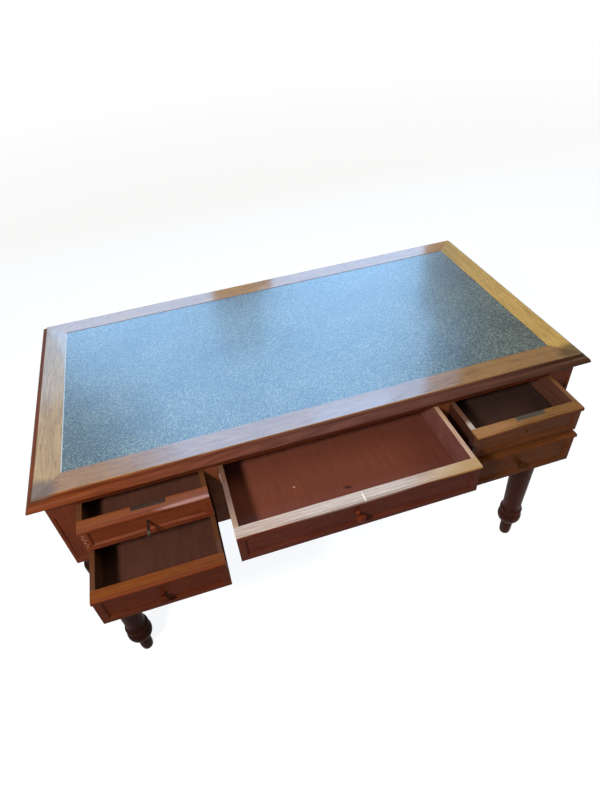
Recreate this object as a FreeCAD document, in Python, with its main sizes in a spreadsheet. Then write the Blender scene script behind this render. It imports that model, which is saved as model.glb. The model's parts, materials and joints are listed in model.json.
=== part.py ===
import FreeCAD, Part
import math
import os
import Sketcher

# A writing table: a leather-covered top on a case of five drawers, two each side of a kneehole and one
# over it, standing on four turned legs. X runs along the front, Y from the front to the back and Z up from
# the floor. The drawers stand open, each by its own distance, and the origin is on the floor under the middle
# of that shape.

# Driving sizes in millimetres
SIZES = {
    # Top, with its moulded edge
    "table_height": 742,
    "top_length": 1300,
    "top_depth": 692,
    "top_thickness": 34,
    "border_width": 52,
    "edge_flare": 20,
    "edge_height": 25,
    "edge_nose": 6,
    "edge_nose_swell": 1.2,
    "edge_undercut": 3.5,
    "edge_torus_swell": 2.6,
    "edge_band_width": 5,
    "edge_band_height": 6,
    "edge_band_swell": 1.8,
    "edge_quirk": 2,
    "edge_bed": 3,
    "mitre_spare": 5,
    "top_panel_thickness": 20,
    "leather_thickness": 1.6,
    "leather_drop": 0.6,
    # Case
    "end_overhang": 27,
    "front_overhang": 19,
    "case_height": 206,
    "post_width": 60,
    "post_field_margin": 7,
    "post_field_head": 37,
    "post_field_foot": 14,
    "post_field_depth": 2.5,
    "stile_width": 30,
    "side_opening": 270,
    "lower_share": 0.554,
    "centre_opening": 85,
    "rail_depth": 26,
    "top_rail_height": 16,
    "divider_height": 5,
    "bottom_rail_height": 19,
    "kneehole_rail_height": 16,
    "partition_thickness": 16,
    "runner_ledge": 20,
    "guide_height": 22,
    "guide_thickness": 12,
    "end_rail_height": 46,
    "end_rail_thickness": 24,
    "end_setback": 4,
    "end_panel_thickness": 10,
    "back_rail_height": 40,
    "back_setback": 6,
    "back_panel_thickness": 14,
    "panel_margin": 18,
    "panel_raise": 5,
    # Turned legs
    "leg_inset": 33,
    "toe_diameter": 31,
    "foot_diameter": 35,
    "foot_rise": 30,
    "foot_height": 52,
    "foot_swell": 1,
    "ankle_diameter": 32,
    "ankle_height": 12,
    "bulb_seat_diameter": 46,
    "bulb_diameter": 69.5,
    "bulb_neck_diameter": 58,
    "bulb_height": 46,
    "ring_seat_diameter": 57,
    "ring_diameter": 66,
    "ring_height": 17,
    "ring_gap": 3,
    "shaft_foot_diameter": 54.5,
    "shaft_foot_rise": 18,
    "shaft_foot_hollow": 1.2,
    "shaft_head_diameter": 70,
    "shoulder_rise": 9,
    "shoulder_swell": 2.4,
    "throat_diameter": 50,
    "throat_drop": 31,
    "collar_seat_diameter": 54,
    "collar_diameter": 64,
    "collar_height": 15,
    "cove_depth": 2.5,
    "tenon_diameter": 24,
    "tenon_length": 36,
    "tenon_play": 0.2,
    # Drawers
    "drawer_gap": 0.8,
    "drawer_room": 74,
    "front_thickness": 23,
    "lip_reach": 6,
    "lip_height": 13,
    "lip_round": 4,
    "field_margin": 15,
    "field_sill": 12,
    "field_head": 4,
    "field_depth": 4,
    "side_thickness": 11,
    "tail_length": 15,
    "tail_share": 0.35,
    "tail_rake": 3,
    "tail_play": 0.1,
    "drawer_back_thickness": 10,
    "drawer_back_drop": 8,
    "bottom_thickness": 6,
    "bottom_raise": 8,
    "groove_depth": 5,
    "groove_play": 0.4,
    "open_upper_left": 68,
    "open_lower_left": 182,
    "open_centre": 192,
    "open_upper_right": 118,
    "open_lower_right": 124,
    # Knobs
    "knob_height": 41,
    "knob_shift_lower_left": 2.5,
    "knob_shift_centre": 9.5,
    "knob_shift_lower_right": 7,
    "knob_diameter": 21,
    "knob_length": 22,
    "knob_head": 13,
    "knob_crown": 6,
    "knob_crown_swell": 1.6,
    "knob_under_swell": 1.2,
    "knob_neck_diameter": 10,
    "knob_base_diameter": 15,
    "knob_neck_hollow": 1.6,
    "knob_peg_diameter": 8,
    "knob_peg_length": 12,
    # Locks and key
    "lock_width": 72,
    "lock_foot": 6.4,
    "lock_depth": 12,
    "lock_offset": 10,
    "lock_wall": 1.5,
    "bolt_width": 24,
    "bolt_thickness": 4,
    "bolt_throw": 7,
    "bolt_play": 0.3,
    "strike_play": 1.5,
    "keyhole_rise": 18,
    "keyhole_play": 0.5,
    "keyhole_slot": 3,
    "key_shank": 5,
    "key_stand": 14,
    "key_bow": 24,
    "key_wire": 4,
    "key_bit_reach": 9,
    "key_bit_thickness": 2,
    "key_bit_play": 1,
    "key_bit_travel": 5,
}

LEFT_RIGHT = {"left": -1, "right": 1}
FRONT_BACK = {"front": -1, "back": 1}
TAILS_PER_CORNER = 2
START, END, CENTRE = range(1, 4)
SLOPE = -45
QUARTER_ROUND = f"{1 - math.sqrt(0.5)}"

doc = FreeCAD.newDocument("writing_table")
sheet = doc.addObject("Spreadsheet::Sheet", "size")
for row, (alias, number) in enumerate(SIZES.items(), start=1):
    sheet.set(f"A{row}", alias)
    sheet.set(f"B{row}", str(number))
    sheet.setAlias(f"B{row}", alias)
doc.recompute()

# Levels, from the floor
top_underside = "(size.table_height - size.top_thickness)"
leg_height = f"({top_underside} - size.case_height)"
opening_top = f"({top_underside} - size.top_rail_height)"
lower_floor = f"({leg_height} + size.bottom_rail_height)"
lower_opening = f"(({opening_top} - {lower_floor} - size.divider_height) * size.lower_share)"
lower_top = f"({lower_floor} + {lower_opening})"
upper_floor = f"({lower_top} + size.divider_height)"
centre_floor = f"({opening_top} - size.centre_opening)"
kneehole_top = f"({centre_floor} - size.kneehole_rail_height)"
leather_underside = "(size.table_height - size.leather_drop - size.leather_thickness)"

# Distances from the middle of the case, along the front
case_side = "(size.top_length / 2 - size.end_overhang)"
post_edge = f"({case_side} - size.post_width)"
post_middle = f"({case_side} - size.post_width / 2)"
leg_middle = f"({case_side} - size.leg_inset)"
stile_outer = f"({post_edge} - size.side_opening)"
stile_inner = f"({stile_outer} - size.stile_width)"
partition_inset = "((size.stile_width - size.partition_thickness) / 2)"
partition_outer = f"({stile_outer} - {partition_inset})"
partition_inner = f"({stile_inner} + {partition_inset})"
side_column = f"(({post_edge} + {stile_outer}) / 2)"

# Places from the front to the back of the case
case_back = "(size.top_depth / 2 - size.front_overhang)"
case_front = f"(-{case_back})"
rail_rear = f"({case_front} + size.rail_depth)"
post_depth_middle = f"({case_back} - size.post_width / 2)"
leg_depth_middle = f"({case_back} - size.leg_inset)"
between_posts = f"(2 * {case_back} - 2 * size.post_width)"
back_panel_face = f"({case_back} - size.back_setback)"
back_inner = f"({back_panel_face} - size.back_panel_thickness)"
drawer_length = f"({back_inner} - {case_front} - size.drawer_room)"

# Levels in a locked drawer, from its underside
lock_bottom = "(size.bottom_raise + size.bottom_thickness + size.lock_foot)"
key_axis = f"({lock_bottom} + size.keyhole_rise)"
bolt_bottom = f"({key_axis} + size.key_bit_reach + size.key_bit_travel)"

# The origin lies halfway between the fitting or drawer that reaches furthest forward and the back of the top
knob_reach = "(size.knob_length - size.field_depth)"
key_reach = "(size.key_stand + size.key_bow)"
front_reach = (
    f"({case_back} + max(size.open_centre + {knob_reach}; size.open_lower_left + {knob_reach};"
    f" size.open_lower_right + {knob_reach}; size.open_upper_left + {key_reach};"
    " size.open_upper_right + size.lip_reach))"
)
to_origin = f"(({front_reach} - size.top_depth / 2) / 2)"

kept = []


def value(expression):
    """The number that an expression on the sheet stands for."""
    return float(sheet.evalExpression(expression))


def keep(piece):
    """Marks a finished piece as one that gets its own file."""
    kept.append(piece)
    return piece


def seat(piece, x, y, z):
    """Puts a piece at a place measured from the middle of the case on the floor."""
    piece.setExpression("Placement.Base.x", x)
    piece.setExpression("Placement.Base.y", f"{y} + {to_origin}")
    piece.setExpression("Placement.Base.z", z)


def either_side(side, near, far):
    """The X range between two distances from the middle, on the left (-1) or right (1)."""
    return (near, far) if side > 0 else (f"-{far}", f"-{near}")


def board(label, across, along, up, place=("0", "0", "0")):
    """A square-edged board between X, Y and Z ranges measured from a place."""
    box = doc.addObject("Part::Box", label)
    for name, (low, high) in zip(("Length", "Width", "Height"), (across, along, up)):
        box.setExpression(name, f"({high}) - ({low})")
    seat(box, *(f"{start} + ({low})" for start, (low, high) in zip(place, (across, along, up))))
    return box


def group(label, pieces):
    """Separate pieces of one kind that share a node."""
    together = doc.addObject("Part::Compound", label)
    together.Links = pieces
    return together


def cut(label, base, tools):
    """A piece with other shapes taken out of it."""
    holes = doc.addObject("Part::Compound", f"{label}_cuts")
    holes.Links = tools
    result = doc.addObject("Part::Cut", label)
    result.Base = base
    result.Tool = holes
    return result


def new_body(label):
    """An empty body for sketched features."""
    return doc.addObject("PartDesign::Body", label)


def sketch_on(body, role, lift="0"):
    """A sketch on one of a body's own planes, lifted along the plane's normal."""
    sketch = body.newObject("Sketcher::SketchObject", f"{body.Name}_sketch")
    plane = next(feature for feature in body.Origin.OriginFeatures if feature.Role == role)
    sketch.AttachmentSupport = [(plane, "")]
    sketch.MapMode = "FlatFace"
    sketch.setExpression("AttachmentOffset.Base.z", lift)
    return sketch


def bowed(start, end, swell):
    """An arc between two points whose middle stands out by swell to the right, or in when it is negative."""
    chord = end - start
    outward = FreeCAD.Vector(chord.y, -chord.x, 0).normalize() * math.copysign(1, swell)
    radius = (chord.Length ** 2 / 4 + swell ** 2) / (2 * abs(swell))
    centre = (start + end) / 2 + outward * (abs(swell) - radius)
    circle = Part.Circle(centre, FreeCAD.Vector(0, 0, 1), radius)
    first, last = (start, end) if swell > 0 else (end, start)
    angles = [math.atan2(point.y - centre.y, point.x - centre.x) for point in (first, last)]
    return Part.ArcOfCircle(circle, *angles)


def outline(sketch, corners):
    """A closed outline, anticlockwise. A corner with a third value starts a side that swells out by it."""
    points = [FreeCAD.Vector(value(corner[0]), value(corner[1]), 0) for corner in corners]
    ends = points[1:] + points[:1]
    swells = [value(corner[2]) if len(corner) > 2 else 0 for corner in corners]
    first = sketch.GeometryCount
    for start, end, swell in zip(points, ends, swells):
        side = bowed(start, end, swell) if swell else Part.LineSegment(start, end)
        sketch.addGeometry(side, False)
    for index, corner in enumerate(corners):
        following = (index + 1) % len(corners)
        begins, finishes = (END, START) if swells[index] < 0 else (START, END)
        next_begins = END if swells[following] < 0 else START
        sketch.addConstraint(
            Sketcher.Constraint("Coincident", first + index, finishes, first + following, next_begins)
        )
        for kind, place in zip(("DistanceX", "DistanceY"), corner):
            bind(sketch, Sketcher.Constraint(kind, first + index, begins, value(place)), place)
        if swells[index]:
            across, up = (f"(({corners[following][i]}) - ({corner[i]}))" for i in (0, 1))
            depth = f"abs({corner[2]})"
            radius = f"(({across}^2 + {up}^2) / 4 + {depth}^2) / (2 * {depth})"
            bind(sketch, Sketcher.Constraint("Radius", first + index, value(radius)), radius)


def bind(sketch, constraint, expression):
    """Adds a constraint to a sketch and ties its number to the sheet."""
    index = sketch.addConstraint(constraint)
    sketch.setExpression(f"Constraints[{index}]", expression)


def rectangle(sketch, low, high):
    """An upright rectangle between two corners."""
    outline(sketch, [low, (high[0], low[1]), high, (low[0], high[1])])


def circle(sketch, x, y, diameter):
    """A circle by its middle and diameter."""
    middle = FreeCAD.Vector(value(x), value(y), 0)
    index = sketch.addGeometry(Part.Circle(middle, FreeCAD.Vector(0, 0, 1), value(diameter) / 2), False)
    bind(sketch, Sketcher.Constraint("DistanceX", index, CENTRE, middle.x), x)
    bind(sketch, Sketcher.Constraint("DistanceY", index, CENTRE, middle.y), y)
    bind(sketch, Sketcher.Constraint("Diameter", index, value(diameter)), diameter)


def feature(body, kind, sketch, length, reverse=False, taper=0):
    """A pad or pocket of a sketch by a length."""
    result = body.newObject(f"PartDesign::{kind}", f"{body.Name}_{kind.lower()}")
    result.Profile = sketch
    result.setExpression("Length", length)
    result.Reversed = reverse
    result.TaperAngle = taper
    return result


def revolve(body, sketch):
    """A full turn of a sketch about its own upright axis."""
    result = body.newObject("PartDesign::Revolution", f"{body.Name}_revolution")
    result.Profile = sketch
    result.ReferenceAxis = (sketch, ["V_Axis"])
    return result


def radius_of(alias):
    """Half of a diameter on the sheet."""
    return f"(size.{alias} / 2)"


def top_frame_member(label, length, turn, x, y):
    """One moulded member of the top, mitred at both ends, with its inner edge along the given line."""
    body = new_body(label)
    width = "(size.border_width + size.edge_flare)"
    upper = "size.top_thickness"
    band = "size.border_width + size.edge_band_width"
    section = sketch_on(body, "YZ_Plane")
    outline(section, [
        ("0", "0"),
        ("size.border_width + size.edge_bed", "0"),
        ("size.border_width + size.edge_bed", f"{upper} - size.edge_height"),
        (f"{width} - size.edge_undercut", f"{upper} - size.edge_height", "size.edge_nose_swell"),
        (width, f"{upper} - size.edge_height + size.edge_nose", "size.edge_torus_swell"),
        (f"{band} + size.edge_quirk", f"{upper} - size.edge_band_height - size.edge_quirk"),
        (band, f"{upper} - size.edge_band_height - size.edge_quirk"),
        (band, f"{upper} - size.edge_band_height", "size.edge_band_swell"),
        ("size.border_width", upper),
        ("0", upper),
    ])
    feature(body, "Pad", section, length).SideType = "Symmetric"
    plan = sketch_on(body, "XY_Plane")
    spare = "size.mitre_spare"
    for end in LEFT_RIGHT.values():
        outer = f"{end} * ({length} / 2 + {spare})"
        outline(plan, [
            (f"{end} * ({length} / 2 - {width} - {spare})", f"-{spare}"),
            (outer, f"-{spare}"),
            (outer, f"{width} + {spare}"),
        ])
    feature(body, "Pocket", plan, upper, reverse=True)
    body.Placement.Rotation = FreeCAD.Rotation(FreeCAD.Vector(0, 0, 1), turn)
    seat(body, x, y, top_underside)
    return keep(body)


def build_top():
    """The four frame members, the panel between them and the leather on it."""
    half_length = "(size.top_length / 2 - size.edge_flare - size.border_width)"
    half_depth = "(size.top_depth / 2 - size.edge_flare - size.border_width)"
    top_frame_member("top_frame_back", "size.top_length", 0, "0", half_depth)
    top_frame_member("top_frame_front", "size.top_length", 180, "0", f"-{half_depth}")
    top_frame_member("top_frame_left", "size.top_depth", 90, f"-{half_length}", "0")
    top_frame_member("top_frame_right", "size.top_depth", 270, half_length, "0")
    across = (f"-{half_length}", half_length)
    along = (f"-{half_depth}", half_depth)
    panel = (f"{leather_underside} - size.top_panel_thickness", leather_underside)
    leather = (leather_underside, f"{leather_underside} + size.leather_thickness")
    keep(board("top_panel", across, along, panel))
    keep(board("writing_leather", across, along, leather))


def corner_post(label, side, end):
    """A square post with a sunk field on its outer face and a socket for the leg below."""
    body = new_body(label)
    half = "size.post_width / 2"
    height = "size.case_height"
    plan = sketch_on(body, "XY_Plane")
    rectangle(plan, (f"-{half}", f"-{half}"), (half, half))
    feature(body, "Pad", plan, height)
    field = sketch_on(body, "XZ_Plane", f"{-end} * {half}")
    margin = "size.post_field_margin"
    rectangle(field, (f"-{half} + {margin}", "size.post_field_foot"),
              (f"{half} - {margin}", f"{height} - size.post_field_head"))
    feature(body, "Pocket", field, "size.post_field_depth", reverse=end > 0, taper=SLOPE)
    socket = sketch_on(body, "XY_Plane")
    off_middle = f"({half} - size.leg_inset)"
    bore = "size.tenon_diameter + 2 * size.tenon_play"
    circle(socket, f"{side} * {off_middle}", f"{end} * {off_middle}", bore)
    feature(body, "Pocket", socket, "size.tenon_length + size.tenon_play", reverse=True)
    seat(body, f"{side} * {post_middle}", f"{end} * {post_depth_middle}", leg_height)
    return keep(body)


def turned_leg(label, side, end):
    """A leg turned with a peg foot, a bulb and ring, a shaft that widens upward, a throat and a collar."""
    body = new_body(label)
    bulb_low = "(size.foot_height + size.ankle_height)"
    bulb_high = f"({bulb_low} + size.bulb_height)"
    ring_low = f"({bulb_high} + size.ring_gap)"
    ring_high = f"({ring_low} + size.ring_height)"
    collar_low = f"({leg_height} - size.collar_height)"
    throat = f"({leg_height} - size.throat_drop)"
    bulb_swell = "(2 * size.bulb_diameter - size.bulb_seat_diameter - size.bulb_neck_diameter) / 4"
    ring_swell = "(size.ring_diameter - size.ring_seat_diameter) / 2"
    collar_swell = "(size.collar_diameter - size.collar_seat_diameter) / 2"
    section = sketch_on(body, "XZ_Plane")
    outline(section, [
        ("0", "0"),
        (radius_of("toe_diameter"), "0", "size.foot_swell"),
        (radius_of("foot_diameter"), "size.foot_rise", "size.foot_swell"),
        (radius_of("ankle_diameter"), "size.foot_height", "-size.foot_swell"),
        (radius_of("bulb_seat_diameter"), bulb_low, bulb_swell),
        (radius_of("bulb_neck_diameter"), bulb_high),
        (radius_of("ring_seat_diameter"), ring_low, ring_swell),
        (radius_of("ring_seat_diameter"), ring_high, "-size.shaft_foot_hollow"),
        (radius_of("shaft_foot_diameter"), f"{ring_high} + size.shaft_foot_rise"),
        (radius_of("shaft_head_diameter"), f"{throat} - 2 * size.shoulder_rise", "size.shoulder_swell"),
        (radius_of("throat_diameter"), f"{throat} - size.shoulder_rise"),
        (radius_of("throat_diameter"), throat, "-size.cove_depth"),
        (radius_of("collar_seat_diameter"), collar_low, collar_swell),
        (radius_of("collar_seat_diameter"), leg_height),
        (radius_of("tenon_diameter"), leg_height),
        (radius_of("tenon_diameter"), f"{leg_height} + size.tenon_length"),
        ("0", f"{leg_height} + size.tenon_length"),
    ])
    revolve(body, section)
    seat(body, f"{side} * {leg_middle}", f"{end} * {leg_depth_middle}", "0")
    return keep(body)


def build_front_frame():
    """The rails and stiles that frame the drawer openings."""
    depth = (case_front, rail_rear)
    rail = board("top_rail_blank", (f"-{post_edge}", post_edge), depth, (opening_top, top_underside))
    strikes = [strike_mortise(name, side) for name, side in LEFT_RIGHT.items()]
    keep(cut("front_top_rail", rail, strikes))
    heights = {
        "inner_stile": (stile_inner, stile_outer, (leg_height, opening_top)),
        "drawer_divider": (stile_outer, post_edge, (lower_top, upper_floor)),
        "pedestal_bottom_rail": (stile_outer, post_edge, (leg_height, lower_floor)),
    }
    for label, (near, far, up) in heights.items():
        pair = [board(f"{label}_{name}", either_side(side, near, far), depth, up)
                for name, side in LEFT_RIGHT.items()]
        keep(group(f"{label}s", pair))
    keep(board("kneehole_rail", (f"-{stile_inner}", stile_inner), depth, (kneehole_top, centre_floor)))


def strike_mortise(name, side):
    """The mortise over a closed upper drawer that takes its thrown bolt."""
    play = "size.strike_play"
    bolt_front = "(size.front_thickness - (size.lock_depth + size.bolt_thickness) / 2)"
    half = f"(size.bolt_width / 2 + {play})"
    return board(
        f"strike_{name}",
        (f"-{half}", half),
        (f"{bolt_front} - {play}", f"{bolt_front} + size.bolt_thickness + {play}"),
        ("0", f"size.bolt_throw + {play}"),
        (f"{side} * {side_column}", case_front, opening_top),
    )


def raised_panel(label, plane, outward, width, height, thickness):
    """A panel with a field raised on its outer face. Outward is 1 along its plane's normal, or -1."""
    body = new_body(label)
    half = f"{width} / 2"
    plate = sketch_on(body, plane)
    rectangle(plate, (f"-{half}", "0"), (half, height))
    feature(body, "Pad", plate, thickness, reverse=outward > 0)
    margin = "size.panel_margin"
    field = sketch_on(body, plane)
    rectangle(field, (f"-{half} + {margin}", margin), (f"{half} - {margin}", f"{height} - {margin}"))
    feature(body, "Pad", field, "size.panel_raise", reverse=outward < 0, taper=SLOPE)
    return body


def build_ends():
    """The two ends: a rail above and below a raised panel, between the posts."""
    rail_top = f"({top_underside} - size.end_rail_height)"
    rail_bottom = f"({leg_height} + size.end_rail_height)"
    outer = f"({case_side} - size.end_setback)"
    panel_face = f"({outer} - size.panel_raise)"
    along = (f"-{between_posts} / 2", f"{between_posts} / 2")
    rails = []
    for name, side in LEFT_RIGHT.items():
        across = either_side(side, f"({outer} - size.end_rail_thickness)", outer)
        rails.append(board(f"end_top_rail_{name}", across, along, (rail_top, top_underside)))
        rails.append(board(f"end_bottom_rail_{name}", across, along, (leg_height, rail_bottom)))
        panel = raised_panel(f"end_panel_{name}", "YZ_Plane", side, between_posts,
                             f"({rail_top} - {rail_bottom})", "size.end_panel_thickness")
        seat(panel, f"{side} * {panel_face}", "0", rail_bottom)
        keep(panel)
    keep(group("end_rails", rails))


def build_back():
    """The back: a rail between the posts over two pedestal panels and a shorter one across the kneehole."""
    rail_bottom = f"({top_underside} - size.back_rail_height)"
    keep(board("back_top_rail", (f"-{post_edge}", post_edge), (back_inner, case_back),
               (rail_bottom, top_underside)))
    middle = f"(({post_edge} + {stile_inner}) / 2)"
    side_width = f"({post_edge} - {stile_inner})"
    panels = {
        "left": (f"-{middle}", side_width, leg_height),
        "centre": ("0", f"(2 * {stile_inner})", kneehole_top),
        "right": (middle, side_width, leg_height),
    }
    pieces = []
    for name, (x, width, low) in panels.items():
        panel = raised_panel(f"back_panel_{name}", "XZ_Plane", -1, width, f"({rail_bottom} - {low})",
                             "size.back_panel_thickness")
        seat(panel, x, back_panel_face, low)
        pieces.append(panel)
    keep(group("back_panels", pieces))


def runner(label, edge, floor, outward, guide):
    """The strip that a drawer side runs on and the guide that stands on it, outward of an opening's edge."""
    along = (f"-{between_posts} / 2", f"{between_posts} / 2")
    inner = f"({edge} - {outward} * size.runner_ledge)"
    outer = f"({edge} + {outward} * {guide})"
    pieces = {
        "strip": (inner, (f"{floor} - size.divider_height", floor)),
        "guide": (edge, (floor, f"{floor} + size.guide_height")),
    }
    boards = []
    for name, (near, up) in pieces.items():
        across = (near, outer) if outward > 0 else (outer, near)
        boards.append(board(f"{label}_{name}", across, along, up))
    return boards


def build_inside():
    """The partitions, the runners that carry the drawers and the kickers that keep them level."""
    runners = []
    kickers = []
    for name, side in LEFT_RIGHT.items():
        keep(board(f"partition_{name}", either_side(side, partition_inner, partition_outer),
                   (rail_rear, back_inner), (leg_height, top_underside)))
        edges = {
            "outer": (post_edge, side, "size.guide_thickness"),
            "inner": (stile_outer, -side, partition_inset),
        }
        for edge_name, (edge, outward, guide) in edges.items():
            for level, floor in {"upper": upper_floor, "lower": lower_floor}.items():
                label = f"{level}_runner_{edge_name}_{name}"
                runners += runner(label, f"{side} * {edge}", floor, outward, guide)
        runners += runner(f"centre_runner_{name}", f"{side} * {stile_inner}", centre_floor, side,
                          partition_inset)
        spans = {
            "outer": (f"({post_edge} - size.runner_ledge)", post_edge),
            "inner": (partition_outer, f"({partition_outer} + size.runner_ledge)"),
            "centre": (f"({partition_inner} - size.runner_ledge)", partition_inner),
        }
        for span_name, (near, far) in spans.items():
            kickers.append(board(f"kicker_{span_name}_{name}", either_side(side, near, far),
                                 (rail_rear, back_inner), (opening_top, top_underside)))
    keep(group("drawer_runners", runners))
    keep(group("drawer_kickers", kickers))


def tail_corners(height, index, play):
    """A dovetail in the plane of a drawer side: root on the front's rear face, tip inside the front."""
    middle = f"({height} * {2 * index + 1} / {2 * TAILS_PER_CORNER})"
    tip = f"({height} * size.tail_share / 2 + {play})"
    root = f"({tip} - size.tail_rake)"
    rear = "size.front_thickness"
    inner = f"size.front_thickness - size.tail_length - {play}"
    return [
        (rear, f"{middle} + {root}"),
        (inner, f"{middle} + {tip}"),
        (inner, f"{middle} - {tip}"),
        (rear, f"{middle} - {root}"),
    ]


def drawer_front(label, width, height):
    """A front with a rounded lip along its top, a sunk field, dovetail sockets and a groove for the bottom."""
    body = new_body(label)
    rear = "size.front_thickness"
    section = sketch_on(body, "YZ_Plane")
    outline(section, [
        ("0", "0"),
        (rear, "0"),
        (rear, height),
        ("-size.lip_reach + size.lip_round", height, f"{QUARTER_ROUND} * size.lip_round"),
        ("-size.lip_reach", f"{height} - size.lip_round"),
        ("-size.lip_reach", f"{height} - 2 * size.lip_round", f"-{QUARTER_ROUND} * size.lip_round"),
        ("0", f"{height} - size.lip_height"),
    ])
    feature(body, "Pad", section, width).SideType = "Symmetric"
    field = sketch_on(body, "XZ_Plane")
    side = f"({width} / 2 - size.field_margin)"
    rectangle(field, (f"-{side}", "size.field_sill"),
              (side, f"{height} - size.lip_height - size.field_head"))
    feature(body, "Pocket", field, "size.field_depth", taper=SLOPE)
    for end in LEFT_RIGHT.values():
        sockets = sketch_on(body, "YZ_Plane", f"{end} * {width} / 2")
        for index in range(TAILS_PER_CORNER):
            outline(sockets, tail_corners(height, index, "size.tail_play"))
        feature(body, "Pocket", sockets, "size.side_thickness + size.tail_play", reverse=end < 0)
    groove = sketch_on(body, "XZ_Plane", f"-{rear}")
    half = f"({width} / 2 - size.side_thickness + size.groove_depth)"
    rectangle(groove, (f"-{half}", "size.bottom_raise"),
              (half, "size.bottom_raise + size.bottom_thickness"))
    feature(body, "Pocket", groove, "size.groove_depth", reverse=True)
    return body


def drawer_side(label, side, height):
    """A drawer side with dovetails on its front end and a groove for the bottom on its inner face."""
    body = new_body(label)
    profile = sketch_on(body, "YZ_Plane")
    tails = []
    for index in reversed(range(TAILS_PER_CORNER)):
        tails += tail_corners(height, index, "0")
    outline(profile, [
        ("size.front_thickness", "0"),
        (drawer_length, "0"),
        (drawer_length, height),
        ("size.front_thickness", height),
    ] + tails)
    feature(body, "Pad", profile, "size.side_thickness", reverse=side < 0)
    groove = sketch_on(body, "YZ_Plane")
    rectangle(groove, ("size.front_thickness - size.groove_depth", "size.bottom_raise"),
              (drawer_length, "size.bottom_raise + size.bottom_thickness"))
    feature(body, "Pocket", groove, "size.groove_depth", reverse=side > 0)
    return body


def drawer_box(name, width, height, place):
    """The sides, back and bottom of a drawer."""
    inner = f"({width} / 2 - size.side_thickness)"
    for side_name, side in LEFT_RIGHT.items():
        wall = drawer_side(f"{name}_drawer_{side_name}_side", side, height)
        seat(wall, f"{place[0]} + {side} * {inner}", place[1], place[2])
        keep(wall)
    floor_top = "(size.bottom_raise + size.bottom_thickness)"
    keep(board(f"{name}_drawer_back", (f"-{inner}", inner),
               (f"{drawer_length} - size.drawer_back_thickness", drawer_length),
               (floor_top, f"{height} - size.drawer_back_drop"), place))
    reach = f"({inner} + size.groove_depth - size.groove_play)"
    keep(board(f"{name}_drawer_bottom", (f"-{reach}", reach),
               ("size.front_thickness - size.groove_depth + size.groove_play", drawer_length),
               ("size.bottom_raise", floor_top), place))


def knob(label, shift, place):
    """A turned knob on the floor of the front's field, left of its middle, with its peg in the board."""
    body = new_body(label)
    face = "-size.knob_length"
    section = sketch_on(body, "XY_Plane")
    outline(section, [
        ("0", face, "size.knob_crown_swell"),
        (radius_of("knob_diameter"), f"{face} + size.knob_crown", "size.knob_under_swell"),
        (radius_of("knob_neck_diameter"), f"{face} + size.knob_head", "-size.knob_neck_hollow"),
        (radius_of("knob_base_diameter"), "0"),
        (radius_of("knob_peg_diameter"), "0"),
        (radius_of("knob_peg_diameter"), "size.knob_peg_length"),
        ("0", "size.knob_peg_length"),
    ])
    revolve(body, section)
    seat(body, f"{place[0]} - {shift}", f"{place[1]} + size.field_depth", f"{place[2]} + size.knob_height")
    return keep(body)


def bore_for_knob(front, shift):
    """The hole in a front that takes the knob's peg."""
    hole = sketch_on(front, "XZ_Plane")
    circle(hole, f"-{shift}", "size.knob_height", "size.knob_peg_diameter + 2 * size.tail_play")
    feature(front, "Pocket", hole, "size.field_depth + size.knob_peg_length + size.tail_play")


def cut_for_lock(front, height):
    """The keyhole through a front and the mortise in its rear face for the lock."""
    lock_side = "size.lock_width / 2"
    recess = sketch_on(front, "XZ_Plane", "-size.front_thickness")
    rectangle(recess, (f"size.lock_offset - {lock_side}", lock_bottom),
              (f"size.lock_offset + {lock_side}", height))
    feature(front, "Pocket", recess, "size.lock_depth", reverse=True)
    keyhole = sketch_on(front, "XZ_Plane")
    half = "(size.keyhole_slot / 2)"
    bow = "(size.key_shank / 2 + size.keyhole_play)"
    shoulder = f"({key_axis} - sqrt({bow}^2 - {half}^2))"
    foot = f"({key_axis} - size.key_bit_reach)"
    outline(keyhole, [
        (half, foot),
        (half, shoulder, f"{bow} + sqrt({bow}^2 - {half}^2)"),
        (f"-{half}", shoulder),
        (f"-{half}", foot, f"{half} * {QUARTER_ROUND}"),
    ])
    feature(front, "Pocket", keyhole, "size.front_thickness")


def lock_case(label, height, place):
    """A steel lock let into the front: a tray with the bolt's slot in its upper wall and the key's hole."""
    low = "size.lock_offset - size.lock_width / 2"
    high = "size.lock_offset + size.lock_width / 2"
    front = "size.front_thickness - size.lock_depth"
    rear = "size.front_thickness"
    wall = "size.lock_wall"
    blank = board(f"{label}_blank", (low, high), (front, rear), (lock_bottom, height), place)
    hollow = board(f"{label}_hollow", (f"{low} + {wall}", f"{high} - {wall}"), (front, f"{rear} - {wall}"),
                   (f"{lock_bottom} + {wall}", f"{height} - {wall}"), place)
    slot_half = "(size.bolt_width / 2 + size.bolt_play)"
    bolt_front = f"({rear} - (size.lock_depth + size.bolt_thickness) / 2)"
    slot = board(f"{label}_slot", (f"-{slot_half}", slot_half),
                 (f"{bolt_front} - size.bolt_play", f"{bolt_front} + size.bolt_thickness + size.bolt_play"),
                 (f"{height} - 2 * {wall}", height), place)
    pivot = doc.addObject("Part::Cylinder", f"{label}_pivot")
    pivot.setExpression("Radius", "size.key_shank / 2 + size.bolt_play")
    pivot.setExpression("Height", f"2 * {wall}")
    pivot.Placement.Rotation = FreeCAD.Rotation(FreeCAD.Vector(1, 0, 0), -90)
    seat(pivot, place[0], f"{place[1]} + {rear} - 2 * {wall}", f"{place[2]} + {key_axis}")
    return cut(label, blank, [hollow, slot, pivot])


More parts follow.
